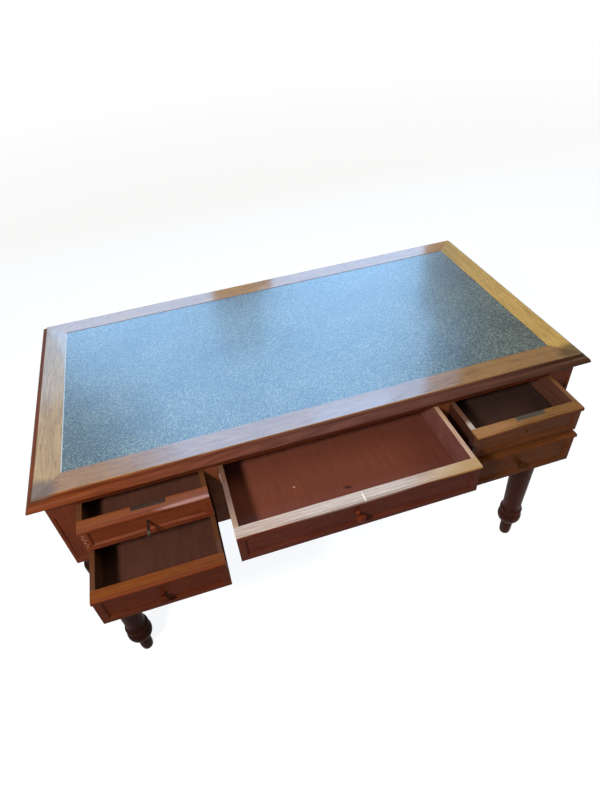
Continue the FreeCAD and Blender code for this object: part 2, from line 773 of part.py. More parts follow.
def lock_bolt(label, height, place):
    """The bolt, drawn back flush with the top of the lock."""
    bolt_front = "(size.front_thickness - (size.lock_depth + size.bolt_thickness) / 2)"
    return board(label, ("-size.bolt_width / 2", "size.bolt_width / 2"),
                 (bolt_front, f"{bolt_front} + size.bolt_thickness"),
                 (bolt_bottom, height), place)


def ring_key(label, place):
    """A key with a ring bow outside the front, its shank through the keyhole and its bit inside the lock."""
    axis = f"{place[2]} + {key_axis}"
    ring_middle = "(size.key_stand + size.key_bow / 2)"
    ring_radius = "((size.key_bow - size.key_wire) / 2)"
    shank = doc.addObject("Part::Cylinder", f"{label}_shank")
    shank.setExpression("Radius", "size.key_shank / 2")
    shank.setExpression("Height", "size.key_stand + size.key_wire / 2 + size.front_thickness")
    shank.Placement.Rotation = FreeCAD.Rotation(FreeCAD.Vector(1, 0, 0), -90)
    seat(shank, place[0], f"{place[1]} - size.key_stand - size.key_wire / 2", axis)
    bow = doc.addObject("Part::Torus", f"{label}_bow")
    bow.setExpression("Radius1", ring_radius)
    bow.setExpression("Radius2", "size.key_wire / 2")
    bow.Placement.Rotation = FreeCAD.Rotation(FreeCAD.Vector(0, 1, 0), 90)
    seat(bow, place[0], f"{place[1]} - {ring_middle}", axis)
    bit_half = "size.key_bit_thickness / 2"
    bit = board(f"{label}_bit", (f"-{bit_half}", bit_half),
                ("size.front_thickness - size.lock_depth + size.key_bit_play",
                 "size.front_thickness - size.lock_wall - size.key_bit_play"),
                (f"{key_axis} - size.key_bit_reach", key_axis), place)
    stem = doc.addObject("Part::Fuse", f"{label}_stem")
    stem.Base = shank
    stem.Tool = bit
    key = doc.addObject("Part::Fuse", label)
    key.Base = stem
    key.Tool = bow
    return keep(key)


def drawer(name, middle, opening, floor, ceiling, fitting):
    """One drawer, pulled out of its opening, with a knob or a lock on its front."""
    width = f"({opening} - 2 * size.drawer_gap)"
    height = f"({ceiling} - {floor} - 2 * size.drawer_gap)"
    place = (middle, f"({case_front} - size.open_{name})", f"({floor} + size.drawer_gap)")
    front = drawer_front(f"{name}_drawer_front", width, height)
    seat(front, *place)
    keep(front)
    drawer_box(name, width, height, place)
    if fitting == "knob":
        shift = f"size.knob_shift_{name}"
        bore_for_knob(front, shift)
        knob(f"{name}_knob", shift, place)
    else:
        cut_for_lock(front, height)
        case = lock_case(f"{name}_lock_case", height, place)
        bolt = lock_bolt(f"{name}_lock_bolt", height, place)
    if fitting == "lock":
        keep(group(f"{name}_lock", [case, bolt]))
    if fitting == "lock with key":
        keep(case)
        keep(bolt)
        ring_key(f"{name}_key", place)


def build_drawers():
    """The five drawers."""
    side = "size.side_opening"
    drawer("upper_left", f"-{side_column}", side, upper_floor, opening_top, "lock with key")
    drawer("lower_left", f"-{side_column}", side, lower_floor, lower_top, "knob")
    drawer("centre", "0", f"(2 * {stile_inner})", centre_floor, opening_top, "knob")
    drawer("upper_right", side_column, side, upper_floor, opening_top, "lock")
    drawer("lower_right", side_column, side, lower_floor, lower_top, "knob")


def check_document():
    """Stops if any object failed, any pocket cut nothing or any kept shape is empty or invalid."""
    for item in doc.Objects:
        if {"Invalid", "Error"} & set(item.State):
            raise RuntimeError(f"{item.Label} failed: {item.State}")
        if item.isDerivedFrom("PartDesign::Pocket"):
            if item.Shape.Volume >= item.BaseFeature.Shape.Volume:
                raise RuntimeError(f"{item.Label} cuts nothing")
    for item in kept:
        if item.Shape.isNull() or not item.Shape.isValid() or not item.Shape.Solids:
            raise RuntimeError(f"{item.Label} has no valid solid")


build_top()
for end_name, end_sign in FRONT_BACK.items():
    for side_name, side_sign in LEFT_RIGHT.items():
        corner_post(f"corner_post_{end_name}_{side_name}", side_sign, end_sign)
        turned_leg(f"leg_{end_name}_{side_name}", side_sign, end_sign)
build_front_frame()
build_ends()
build_back()
build_inside()
build_drawers()
doc.recompute()
check_document()

os.makedirs("parts", exist_ok=True)
for item in kept:
    item.Shape.exportStep(f"parts/{item.Label}.step")
print(f"{len(kept)} sub-parts written")
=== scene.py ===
import json
import math

import bmesh
import bpy
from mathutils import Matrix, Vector

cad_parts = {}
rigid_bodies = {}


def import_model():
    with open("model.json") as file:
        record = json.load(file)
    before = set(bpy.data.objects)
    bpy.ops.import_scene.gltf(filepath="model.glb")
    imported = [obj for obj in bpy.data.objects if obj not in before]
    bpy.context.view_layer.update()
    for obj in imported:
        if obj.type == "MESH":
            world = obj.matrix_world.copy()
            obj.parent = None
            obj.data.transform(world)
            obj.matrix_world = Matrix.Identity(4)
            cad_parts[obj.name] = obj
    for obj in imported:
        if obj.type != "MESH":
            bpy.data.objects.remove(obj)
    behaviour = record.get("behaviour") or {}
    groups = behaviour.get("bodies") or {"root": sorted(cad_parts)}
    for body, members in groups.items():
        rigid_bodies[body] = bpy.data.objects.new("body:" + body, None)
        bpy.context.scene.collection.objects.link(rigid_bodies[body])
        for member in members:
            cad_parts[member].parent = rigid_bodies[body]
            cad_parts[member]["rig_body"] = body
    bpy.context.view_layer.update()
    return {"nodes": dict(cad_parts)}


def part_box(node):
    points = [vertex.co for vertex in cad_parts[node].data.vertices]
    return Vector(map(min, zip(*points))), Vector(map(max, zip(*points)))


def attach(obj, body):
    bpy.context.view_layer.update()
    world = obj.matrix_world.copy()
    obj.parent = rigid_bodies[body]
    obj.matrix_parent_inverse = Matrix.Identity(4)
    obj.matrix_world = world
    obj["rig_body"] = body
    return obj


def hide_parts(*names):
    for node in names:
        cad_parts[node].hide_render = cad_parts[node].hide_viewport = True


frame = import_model()
nodes = frame["nodes"]

# Camera, from the photograph's perspective: place in metres, turn in degrees
IMAGE_SIZE = (600, 800)
FOCAL_PIXELS = 546.785
SENSOR = 36.0
CAMERA_PLACE = (-0.256, -1.058237, 1.572473)
CAMERA_TURN = (48.2824, 4.3124, -16.8511)

# Floor and room: a pale floor, brighter far away, and a white band along the horizon
FLOOR_HALF = 40.0
FLOOR_COLOUR = (0.22, 0.22, 0.22, 1)
FLOOR_GLOW = 0.86
FAR_FLOOR_GLOW = 0.955
FLOOR_FADE = (2.5, 7.0)
WHITE = (1.0, 1.0, 1.0, 1)
ROOM_COLOUR = (0.22, 0.21, 0.20, 1)
HORIZON_HEIGHT = 0.32
CEILING_HEIGHT = 0.40

# Bank of light behind the table, which the top reflects, with one brighter patch just before it: each
# panel's reach across, its reach in height and its share of the full brightness
SKY_COLOUR = (0.285, 0.585, 1.0)
BANK_DISTANCE = 3.0
BANK_RADIANCE = 5.5
BANK_PANELS = {
    "bank_upper": ((-0.65, 2.1), (2.9, 5.55), 1.0),
    "bank_left_bright": ((-0.85, -0.65), (2.9, 5.55), 0.72),
    "bank_left_middle": ((-1.05, -0.85), (2.9, 5.55), 0.53),
    "bank_left_dim": ((-1.3, -1.05), (2.9, 5.55), 0.33),
    "bank_right_dim": ((2.1, 2.5), (3.1, 5.55), 0.26),
    "bank_lower_left": ((-1.27, 0.03), (1.7, 2.9), 0.88),
    "bank_lower_right": ((0.41, 1.95), (2.3, 2.9), 0.94),
    "bank_low_right": ((0.54, 1.95), (1.7, 2.3), 0.94),
    "bank_patch": ((0.03, 0.41), (2.35, 2.9), 0.42),
    "bank_far_left": ((-2.9, -1.3), (2.9, 5.55), 0.18),
    "bank_far_lower_left": ((-2.6, -1.27), (1.7, 2.9), 0.45),
}
GLOW_DISTANCE = 2.95
GLOW_PANELS = {"bright_patch": ((0.8, 1.65), (3.75, 4.6), 0.32)}

# A small lamp at the left, and soft fills in front and at the right
LAMP_COLOUR = (1.0, 0.93, 0.84)
LAMP_PLACE = (-1.1, -1.3, 2.0)
LAMP_SIZE = (0.25, 0.25)
LAMP_POWER = 39.0
FILL_COLOUR = (1.0, 0.94, 0.88)
FILL_PLACE = (-0.8, -2.7, 1.7)
FILL_SIZE = (1.6, 1.6)
FILL_POWER = 10.0
SIDE_COLOUR = (1.0, 0.88, 0.66)
SIDE_PLACE = (2.2, -0.5, 2.2)
SIDE_SIZE = (1.0, 1.0)
SIDE_POWER = 30.0
AIM = (0.0, 0.0, 0.65)

# Rounding of the boards' edges, in metres
EDGE_ROUND = 0.0008
EDGE_STEPS = 2
EDGE_ANGLE = math.radians(30)
FLAT_ANGLE = math.radians(0.5)
MERGE_DISTANCE = 1e-6
WELD_DISTANCE = 2e-6

# Boards that touch one another along an edge within one node, and so keep their square edges
SQUARE_BOARDS = ("back_panels", "drawer_runners")

# What the finishes share: the mix node's sockets for colours, the most that a piece's pattern is shifted,
# the share of a mark that has its full strength, and the range in which a face counts as looking up
MIX_FIRST, MIX_SECOND, MIX_RESULT = 6, 7, 2
PIECE_SHIFT = 7.0
MARK_CORE = 0.55
UPWARD_RANGE = (0.85, 0.97)


class Nodes:
    """A node tree, with short calls for the nodes that the finishes and the world share."""

    def __init__(self, owner):
        owner.use_nodes = True
        self.tree = owner.node_tree

    def node(self, kind, **inputs):
        """A node with inputs given by name, each a number, a colour or another node's output."""
        made = self.tree.nodes.new(f"ShaderNode{kind}")
        for name, content in inputs.items():
            self.feed(made.inputs[name.replace("_", " ")], content)
        return made

    def feed(self, socket, content):
        """Links an output to an input, or sets the input's own value."""
        if isinstance(content, bpy.types.NodeSocket):
            self.tree.links.new(content, socket)
        else:
            socket.default_value = content

    def math(self, operation, first, second=0.0):
        """Two numbers put together."""
        made = self.tree.nodes.new("ShaderNodeMath")
        made.operation = operation
        self.feed(made.inputs[0], first)
        self.feed(made.inputs[1], second)
        return made.outputs[0]

    def spread(self, number, low, high, start=0.0, end=1.0):
        """A number stretched from one range to another, held at both ends."""
        made = self.node("MapRange", Value=number)
        for name, content in (("From Min", low), ("From Max", high), ("To Min", start), ("To Max", end)):
            self.feed(made.inputs[name], content)
        return made.outputs["Result"]

    def mix(self, factor, first, second, blend="MIX"):
        """Two colours put together."""
        made = self.tree.nodes.new("ShaderNodeMix")
        made.data_type = "RGBA"
        made.blend_type = blend
        self.feed(made.inputs["Factor"], factor)
        self.feed(made.inputs[MIX_FIRST], first)
        self.feed(made.inputs[MIX_SECOND], second)
        return made.outputs[MIX_RESULT]

    def length(self, vector):
        """How long a vector is."""
        made = self.tree.nodes.new("ShaderNodeVectorMath")
        made.operation = "LENGTH"
        self.feed(made.inputs[0], vector)
        return made.outputs["Value"]

    def seen(self):
        """One where the camera, a mirror or clear glass looks, nought for other light."""
        path = self.node("LightPath").outputs
        straight = self.math("MAXIMUM", path["Is Camera Ray"], path["Is Glossy Ray"])
        return self.math("MAXIMUM", straight, path["Is Transmission Ray"])


class Finish(Nodes):
    """A material with its own shader, and the patterns that the finishes share."""

    def __init__(self, name):
        self.material = bpy.data.materials.new(name)
        super().__init__(self.material)
        self.shader = self.tree.nodes["Principled BSDF"]

    def set(self, **inputs):
        """Inputs of the material's own shader."""
        for name, content in inputs.items():
            self.feed(self.shader.inputs[name.replace("_", " ")], content)

    def spot(self):
        """The place on the object, in metres."""
        return self.node("TexCoord").outputs["Object"]

    def along(self, axis):
        """The place along one axis of the object."""
        return self.node("SeparateXYZ", Vector=self.spot()).outputs[axis]

    def shifted_spot(self):
        """The place on the object, with a shift of its own for each piece."""
        shift = self.math("MULTIPLY", self.node("ObjectInfo").outputs["Random"], PIECE_SHIFT)
        moved = self.tree.nodes.new("ShaderNodeVectorMath")
        self.feed(moved.inputs[0], self.spot())
        self.feed(moved.inputs[1], self.node("CombineXYZ", X=shift, Y=shift, Z=shift).outputs[0])
        return moved.outputs[0]

    def stretched(self, spot, turn, along, across):
        """A place turned so that the grain runs along X, then scaled along and across it."""
        turned = self.node("Mapping", Vector=spot, Rotation=turn)
        return self.node("Mapping", Vector=turned.outputs[0], Scale=(along, across, across)).outputs[0]

    def noise(self, spot, scale=1.0, detail=2.0, roughness=0.5, distortion=0.0):
        """Cloudy noise about one half."""
        made = self.node("TexNoise", Vector=spot, Scale=scale, Detail=detail, Roughness=roughness,
                         Distortion=distortion)
        return made.outputs["Fac"]

    def mark(self, centre, half, turn=0.0):
        """One inside a small patch of the piece, turned about Z, fading to nought at its edge."""
        local = self.node("Mapping", Vector=self.spot(), Location=centre, Rotation=(0, 0, turn), Scale=half)
        local.vector_type = "TEXTURE"
        return self.spread(self.length(local.outputs[0]), MARK_CORE, 1.0, 1.0, 0.0)

    def facing_up(self):
        """One on faces that look up, nought on the others."""
        normal = self.node("NewGeometry").outputs["True Normal"]
        return self.spread(self.node("SeparateXYZ", Vector=normal).outputs["Z"], *UPWARD_RANGE)

    def bump(self, height, strength, distance):
        """Small relief in the surface."""
        made = self.node("Bump", Height=height, Strength=strength, Distance=distance)
        self.set(Normal=made.outputs[0])


# Oak: which way the grain runs, and how often each pattern repeats in a metre along and across it
GRAIN_TURN = {"x": (0, 0, 0), "y": (0, 0, math.pi / 2), "z": (0, math.pi / 2, 0)}
FIGURE_REPEATS = (1.1, 11.0)
FIBRE_REPEATS = (14.0, 260.0)
PORE_REPEATS = (45.0, 520.0)
CLOUD_REPEATS = 4.5
RUB_REPEATS = 19.0
RING_TURNS = 75.0

# Oak: the range in which each pattern goes from none to full
PORE_RANGE = (0.56, 0.68)
STREAK_RANGE = (0.3, 0.8)
CLOUD_RANGE = (0.35, 0.7)
RUB_RANGE = (0.5, 0.72)
DULL_RUB_RANGE = (0.3, 0.75)
COAT_FIBRE_RANGE = (0.35, 0.7)

# Oak: how much each pattern changes tone, polish, roughness and relief
RING_STREAKS = 0.2
FIBRE_STREAKS = 0.9
CLOUD_TONE = 0.55
PORE_TONE = 0.4
FIBRE_COAT = 0.8
PORE_ROUGHNESS = 0.2
RUB_ROUGHNESS = 0.16
FIBRE_RELIEF = 0.5
OAK_BUMP = (0.3, 0.0003)

# The moulded edge of the top: depths below the face between which it sets in, places along X between which
# its colour changes from the left stain to a middle that is a painted sheen and on to the right, and how
# much it and the stains dull the polish
EDGE_DEPTHS = (0.0012, 0.0002)
EDGE_TO_MIDDLE = (-0.5, -0.05, 0.0, 0.8)
EDGE_TO_RIGHT = (0.2, 0.62, 0.0, 0.85)
EDGE_DULLING = 0.9
STAIN_DULLING = 0.6
EDGE_SHINE = 0.3


def oak_patterns(finish, grain):
    """The streaks, fibres, open pores, cloudy tone and rubbing of a piece of oak."""
    spot = finish.shifted_spot()
    turn = GRAIN_TURN[grain]
    figure = finish.noise(finish.stretched(spot, turn, *FIGURE_REPEATS), detail=3.0, distortion=0.5)
    rings = finish.spread(finish.math("SINE", finish.math("MULTIPLY", figure, RING_TURNS)), -1.0, 1.0)
    fibres = finish.noise(finish.stretched(spot, turn, *FIBRE_REPEATS), detail=4.0, roughness=0.65)
    ring_streaks = finish.math("MULTIPLY", rings, RING_STREAKS)
    streaks = finish.math("ADD", ring_streaks, finish.math("MULTIPLY", fibres, FIBRE_STREAKS))
    pores = finish.spread(finish.noise(finish.stretched(spot, turn, *PORE_REPEATS)), *PORE_RANGE)
    cloud = finish.noise(spot, scale=CLOUD_REPEATS, detail=4.0, roughness=0.6)
    rub = finish.noise(spot, scale=RUB_REPEATS, detail=6.0, roughness=0.65)
    return finish.spread(streaks, *STREAK_RANGE), fibres, pores, cloud, rub


def moulded_edge(finish):
    """One on the moulded edge of the top, nought on its flat face."""
    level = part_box("top_frame_front")[1].z
    full, none = (level - depth for depth in EDGE_DEPTHS)
    return finish.spread(finish.along("Z"), full, none, 1.0, 0.0)


def edge_stain_and_sheen(finish, streaks, edge_colours):
    """The colour of the moulded edge, from its left end, which is stain, over its middle, which is a painted
    sheen, to its right end.
    """
    left, middle, right = (finish.mix(streaks, light, dark) for light, dark in edge_colours)
    across = finish.along("X")
    stain = finish.mix(finish.spread(across, *EDGE_TO_MIDDLE), left, middle)
    return finish.mix(finish.spread(across, *EDGE_TO_RIGHT), stain, right)


def wood(name, grain, colours, roughness=0.4, shine=0.06, top_coat=0.05, coat_roughness=0.14,
         coat_index=1.5, pore_depth=0.3, worn_top=0.0, worn_share=0.3, edge_colours=None, marks=()):
    """Polished oak: growth rings in long flames, fibres, open pores, rubbed patches and marks."""
    finish = Finish(name)
    streaks, fibres, pores, cloud, rub = oak_patterns(finish, grain)
    light, dark, worn = colours
    colour = finish.mix(streaks, light, dark)
    colour = finish.mix(finish.spread(cloud, *CLOUD_RANGE, 0.0, CLOUD_TONE), colour, dark)
    patches = finish.spread(rub, *RUB_RANGE, 0.0, worn_share)
    raised = finish.math("MULTIPLY", finish.facing_up(), worn_top)
    colour = finish.mix(finish.math("MAXIMUM", patches, raised), colour, finish.mix(fibres, worn, light))
    pore_colour = tuple(channel * PORE_TONE for channel in dark[:3]) + (1,)
    colour = finish.mix(finish.math("MULTIPLY", pores, pore_depth), colour, pore_colour)
    edge = 0.0
    if edge_colours:
        edge = moulded_edge(finish)
        colour = finish.mix(edge, colour, edge_stain_and_sheen(finish, streaks, edge_colours))
    stains = 0.0
    for mark_colour, strength, centre, half, turn in marks:
        stain = finish.math("MULTIPLY", finish.mark(centre, half, turn), strength)
        colour = finish.mix(stain, colour, mark_colour)
        stains = finish.math("MAXIMUM", stains, stain)
    polish = finish.math("MULTIPLY", finish.facing_up(), top_coat)
    if edge_colours:
        dull_edge = finish.math("MULTIPLY", edge, EDGE_DULLING)
        dulled = finish.math("MAXIMUM", dull_edge, finish.math("MULTIPLY", stains, STAIN_DULLING))
        polish = finish.math("MULTIPLY", polish, finish.math("SUBTRACT", 1.0, dulled))
        shine = finish.spread(edge, 0.0, 1.0, shine, shine * EDGE_SHINE)
    coat = finish.math("MULTIPLY", polish, finish.spread(fibres, *COAT_FIBRE_RANGE, 1.0, FIBRE_COAT))
    finish.set(Base_Color=colour, Specular_IOR_Level=shine)
    finish.set(Coat_Weight=coat, Coat_Roughness=coat_roughness, Coat_IOR=coat_index)
    rubbed = finish.spread(rub, *DULL_RUB_RANGE, 0.0, RUB_ROUGHNESS)
    uneven = finish.math("ADD", finish.math("MULTIPLY", pores, PORE_ROUGHNESS), rubbed)
    finish.set(Roughness=finish.math("ADD", uneven, roughness))
    finish.bump(finish.math("SUBTRACT", finish.math("MULTIPLY", fibres, FIBRE_RELIEF), pores), *OAK_BUMP)
    return finish.material


# Leathercloth: its colours, how often each pattern repeats in a metre, and what each range is turned into
CLOTH_DARK = (0.008, 0.013, 0.013, 1)
CLOTH_LIGHT = (0.018, 0.026, 0.024, 1)
CLOTH_DUST = (0.245, 0.28, 0.20, 1)
# The colour the leathercloth darkens to along its back edge and at the fold
CLOTH_DARKENED = (0.008, 0.009, 0.008, 1)
# The colour of the painted highlight line along the left edge
CLOTH_HIGHLIGHT_LINE = (0.62, 0.60, 0.55, 1)
WANDER_REPEATS = 120.0
WANDER_REACH = 0.004
PEBBLE_REPEATS = 210.0
SPECK_REPEATS = 285.0
TONE_REPEATS = 7.0
TONE_RANGE = (0.3, 0.7)
CREASE_RANGE = (0.02, 0.25, 1.0, 0.0)
CREASE_DUST = 0.35
CREASE_RELIEF = 0.5
SPECK_DUST = (0.535, 0.575)
TONE_DUST = (0.35, 0.7, 0.55, 0.95)
CLOTH_ROUGHNESS = (0.35, 0.65, 0.22, 0.34)
CLOTH_SHINE = 0.8
CLOTH_COAT = (0.38, 0.62, 0.5, 0.85)
CLOTH_COAT_ROUGHNESS = 0.13
CLOTH_BUMP = (0.4, 0.0005)

# Leathercloth: the pale line at its left edge, a painted highlight along the arris there, the dark strip at
# its back edge and the fold, in metres
HIGHLIGHT_LINE_REACH = (0.0012, 0.0026)
HIGHLIGHT_LINE_STRENGTH = 0.85
STRIP_REACH = (0.0040, 0.0015)
STRIP_STRENGTH = 0.9
FOLD_PLACE = (0.2815, 0.165)
FOLD_HALF = (0.0012, 0.034, 0.01)
FOLD_TURN = -0.07
FOLD_STRENGTH = 0.7


def darkened_cloth(finish):
    """Where the leathercloth darkens and loses its coat: a strip along its back edge, and the fold."""
    low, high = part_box("writing_leather")
    inner, outer = (high.y - reach for reach in STRIP_REACH)
    strip = finish.spread(finish.along("Y"), inner, outer, 0.0, STRIP_STRENGTH)
    fold = finish.mark((low.x + FOLD_PLACE[0], low.y + FOLD_PLACE[1], high.z), FOLD_HALF, FOLD_TURN)
    return finish.math("MAXIMUM", strip, finish.math("MULTIPLY", fold, FOLD_STRENGTH))


def leathercloth():
    """Dark green leathercloth: a pebbled grain with dust in its creases, darkened along its back edge and at
    a fold, and slightly uneven.
    """
    finish = Finish("grained_leathercloth")
    spot = finish.spot()
    wander = finish.node("TexNoise", Vector=spot, Scale=WANDER_REPEATS, Detail=2.0)
    bent = finish.mix(WANDER_REACH, spot, wander.outputs["Color"], "ADD")
    cells = finish.node("TexVoronoi", Vector=bent, Scale=PEBBLE_REPEATS)
    cells.feature = "DISTANCE_TO_EDGE"
    creases = finish.spread(cells.outputs["Distance"], *CREASE_RANGE)
    speck = finish.noise(spot, scale=SPECK_REPEATS, detail=3.0, roughness=0.75)
    tone = finish.noise(spot, scale=TONE_REPEATS, detail=5.0, roughness=0.6)
    crease_dust = finish.math("MULTIPLY", creases, CREASE_DUST)
    dust = finish.math("MAXIMUM", crease_dust, finish.spread(speck, *SPECK_DUST))
    dust = finish.math("MULTIPLY", dust, finish.spread(tone, *TONE_DUST))
    colour = finish.mix(finish.spread(tone, *TONE_RANGE), CLOTH_DARK, CLOTH_LIGHT)
    colour = finish.mix(dust, colour, CLOTH_DUST)
    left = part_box("writing_leather")[0].x
    # A painted highlight along the left edge, where the arris catches the light
    line = finish.spread(finish.along("X"), *(left + reach for reach in HIGHLIGHT_LINE_REACH), HIGHLIGHT_LINE_STRENGTH, 0.0)
    colour = finish.mix(line, colour, CLOTH_HIGHLIGHT_LINE)
    darkened = darkened_cloth(finish)
    finish.set(Base_Color=finish.mix(darkened, colour, CLOTH_DARKENED))
    finish.set(Roughness=finish.spread(speck, *CLOTH_ROUGHNESS), Specular_IOR_Level=CLOTH_SHINE)
    coat = finish.math("MULTIPLY", finish.spread(speck, *CLOTH_COAT), finish.math("SUBTRACT", 1.0, darkened))
    finish.set(Coat_Weight=coat, Coat_Roughness=CLOTH_COAT_ROUGHNESS)
    finish.bump(finish.math("SUBTRACT", speck, finish.math("MULTIPLY", creases, CREASE_RELIEF)), *CLOTH_BUMP)
    return finish.material


# Steel of the locks and the key: clean and tarnished colour, and the noise level at which tarnish sets in
LOCK_STEEL = ((0.20, 0.165, 0.115, 1), (0.075, 0.05, 0.024, 1), 0.42)
BROWN_LOCK_STEEL = ((0.10, 0.052, 0.028, 1), (0.055, 0.026, 0.013, 1), 0.38)
KEY_IRON = ((0.10, 0.085, 0.07, 1), (0.05, 0.032, 0.02, 1), 0.42)
LINE_REPEATS = (40.0, 2400.0)
TARNISH_REPEATS = 85.0
TARNISH_STEP = 0.16
STEEL_METALLIC = (0.95, 0.45)
STEEL_ROUGHNESS = (0.32, 0.6)
STEEL_BUMP = (0.2, 0.0002)


def steel(name, clean, tarnish, level):
    """Old steel: drawn lines, brown tarnish in patches and a dull shine."""
    finish = Finish(name)
    spot = finish.shifted_spot()
    lines = finish.noise(finish.stretched(spot, GRAIN_TURN["x"], *LINE_REPEATS), detail=3.0)
    cloud = finish.noise(spot, scale=TARNISH_REPEATS, detail=6.0, roughness=0.7)
    patches = finish.spread(cloud, level, level + TARNISH_STEP)
    finish.set(Base_Color=finish.mix(patches, finish.mix(lines, clean, tarnish), tarnish))
    finish.set(Metallic=finish.spread(patches, 0.0, 1.0, *STEEL_METALLIC))
    finish.set(Roughness=finish.spread(patches, 0.0, 1.0, *STEEL_ROUGHNESS))
    finish.bump(finish.math("ADD", lines, patches), *STEEL_BUMP)
    return finish.material


# Colours of the woods: light and dark streaks, and where the polish is rubbed
TOP_OAK = ((0.32, 0.166, 0.052, 1), (0.20, 0.095, 0.030, 1), (0.38, 0.225, 0.085, 1))
TOP_LEFT_OAK = ((0.47, 0.30, 0.11, 1), (0.28, 0.16, 0.053, 1), (0.53, 0.37, 0.155, 1))
TOP_RIGHT_OAK = ((0.65, 0.395, 0.10, 1), (0.36, 0.20, 0.045, 1), (0.67, 0.435, 0.135, 1))
TOP_BACK_OAK = ((0.50, 0.25, 0.065, 1), (0.31, 0.14, 0.036, 1), (0.52, 0.30, 0.11, 1))
CASE_OAK = ((0.145, 0.030, 0.0095, 1), (0.075, 0.015, 0.005, 1), (0.19, 0.05, 0.016, 1))
# Painted light: the inner stiles get a lighter copy of the case oak, lifting them out of the shade they sit
# in
STILE_OAK = ((0.22, 0.068, 0.028, 1), (0.12, 0.036, 0.015, 1), (0.24, 0.08, 0.036, 1))
UPPER_LEFT_OAK = ((0.18, 0.044, 0.016, 1), (0.10, 0.022, 0.009, 1), (0.19, 0.065, 0.016, 1))
LOWER_LEFT_OAK = ((0.10, 0.020, 0.0065, 1), (0.055, 0.0105, 0.004, 1), (0.23, 0.072, 0.010, 1))
CENTRE_OAK = ((0.105, 0.022, 0.012, 1), (0.06, 0.013, 0.007, 1), (0.76, 0.62, 0.49, 1))
RIGHT_OAK = ((0.130, 0.041, 0.0115, 1), (0.073, 0.021, 0.0065, 1), (0.27, 0.145, 0.042, 1))
# The left, right and shaded linings are darker copies of the centre's lining: painted shade for drawer
# insides that lie in shade
LEFT_LINING = ((0.07, 0.030, 0.016, 1), (0.04, 0.017, 0.010, 1), (0.13, 0.048, 0.018, 1))
CENTRE_LINING = ((0.30, 0.16, 0.07, 1), (0.17, 0.08, 0.032, 1), (0.40, 0.295, 0.225, 1))
RIGHT_LINING = ((0.08, 0.040, 0.018, 1), (0.045, 0.021, 0.010, 1), (0.19, 0.10, 0.032, 1))
SHADED_LINING = ((0.085, 0.032, 0.018, 1), (0.048, 0.017, 0.010, 1), (0.15, 0.085, 0.06, 1))
CENTRE_RED_LINING = ((0.254, 0.103, 0.089, 1), (0.144, 0.052, 0.041, 1), (0.66, 0.50, 0.32, 1))
RIGHT_RED_LINING = ((0.16, 0.067, 0.043, 1), (0.09, 0.035, 0.024, 1), RIGHT_LINING[2])
CENTRE_BOTTOM = ((0.172, 0.053, 0.034, 1), (0.140, 0.043, 0.028, 1), (0.19, 0.067, 0.042, 1))
DARK_BOTTOM = ((0.10, 0.040, 0.027, 1), (0.068, 0.027, 0.019, 1), (0.12, 0.055, 0.038, 1))
# A darker copy of the dark bottom for the upper right drawer: painted shade over its inside
RIGHT_BOTTOM = ((0.058, 0.031, 0.025, 1), (0.040, 0.022, 0.018, 1), (0.07, 0.04, 0.032, 1))
INNER = ((0.30, 0.19, 0.11, 1), (0.19, 0.11, 0.06, 1), (0.36, 0.25, 0.16, 1))
TURNED = ((0.068, 0.017, 0.010, 1), (0.030, 0.008, 0.005, 1), (0.10, 0.030, 0.016, 1))
LEFT_KNOB = ((0.075, 0.016, 0.006, 1), (0.042, 0.009, 0.0035, 1), (0.10, 0.03, 0.010, 1))
RIGHT_KNOB = ((0.080, 0.027, 0.010, 1), (0.047, 0.015, 0.006, 1), (0.11, 0.05, 0.02, 1))
DARK_TURNED = ((0.036, 0.0095, 0.006, 1), (0.017, 0.005, 0.0035, 1), (0.06, 0.018, 0.010, 1))

# Light and dark streaks of the top's moulded edge at its left, middle and right; the rosy middle pair is a
# painted sheen
EDGE_STAIN_AND_SHEEN = (
    ((0.175, 0.043, 0.013, 1), (0.085, 0.020, 0.0075, 1)),
    ((0.130, 0.061, 0.053, 1), (0.070, 0.033, 0.031, 1)),
    ((0.060, 0.029, 0.014, 1), (0.031, 0.015, 0.008, 1)),
)

# Lips and joints on top of the drawer fronts, and painted highlight dots down the left end of one, standing
# for glints
# on its bevel: each dot's place from the left, depth below the top and half width, in metres
LIP_REACH = 0.006
RED_LIP = (0.14, 0.032, 0.010, 1)
# A rosy painted reflection: the sky's sheen on a lip's rounded edge, given as colour
ROSE_LIP_REFLECTION = (0.52, 0.32, 0.32, 1)
JOINT_COLOUR = (0.035, 0.016, 0.01, 1)
JOINT_STRENGTH = 0.75
JOINT_HALF = (0.0009, 0.002)
HIGHLIGHT_DOT_COLOUR = (0.55, 0.32, 0.19, 1)
HIGHLIGHT_DOT_STRENGTH = 0.65
HIGHLIGHT_DOT_HALF = (0.01, 0.0021)
HIGHLIGHT_DOTS = (
    (0.0052, 0.0222, 0.0040), (0.0037, 0.0297, 0.0052), (0.0062, 0.0372, 0.0066),
    (0.0032, 0.0447, 0.0046), (0.0067, 0.0522, 0.0056), (0.0042, 0.0602, 0.0044),
)


def mark_on(name, colour, strength, place, half, turn=0.0):
    """A mark on top of a piece, placed from its left front corner, with half sizes and a turn about Z."""
    low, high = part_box(name)
    return (colour, strength, (low.x + place[0], low.y + place[1], high.z), half, turn)


def joint_line(name):
    """The thin dark joint on top of a front, between the board and its lip."""
    low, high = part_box(name)
    middle = (high.x - low.x) / 2
    return mark_on(name, JOINT_COLOUR, JOINT_STRENGTH, (middle, LIP_REACH), (middle, *JOINT_HALF))


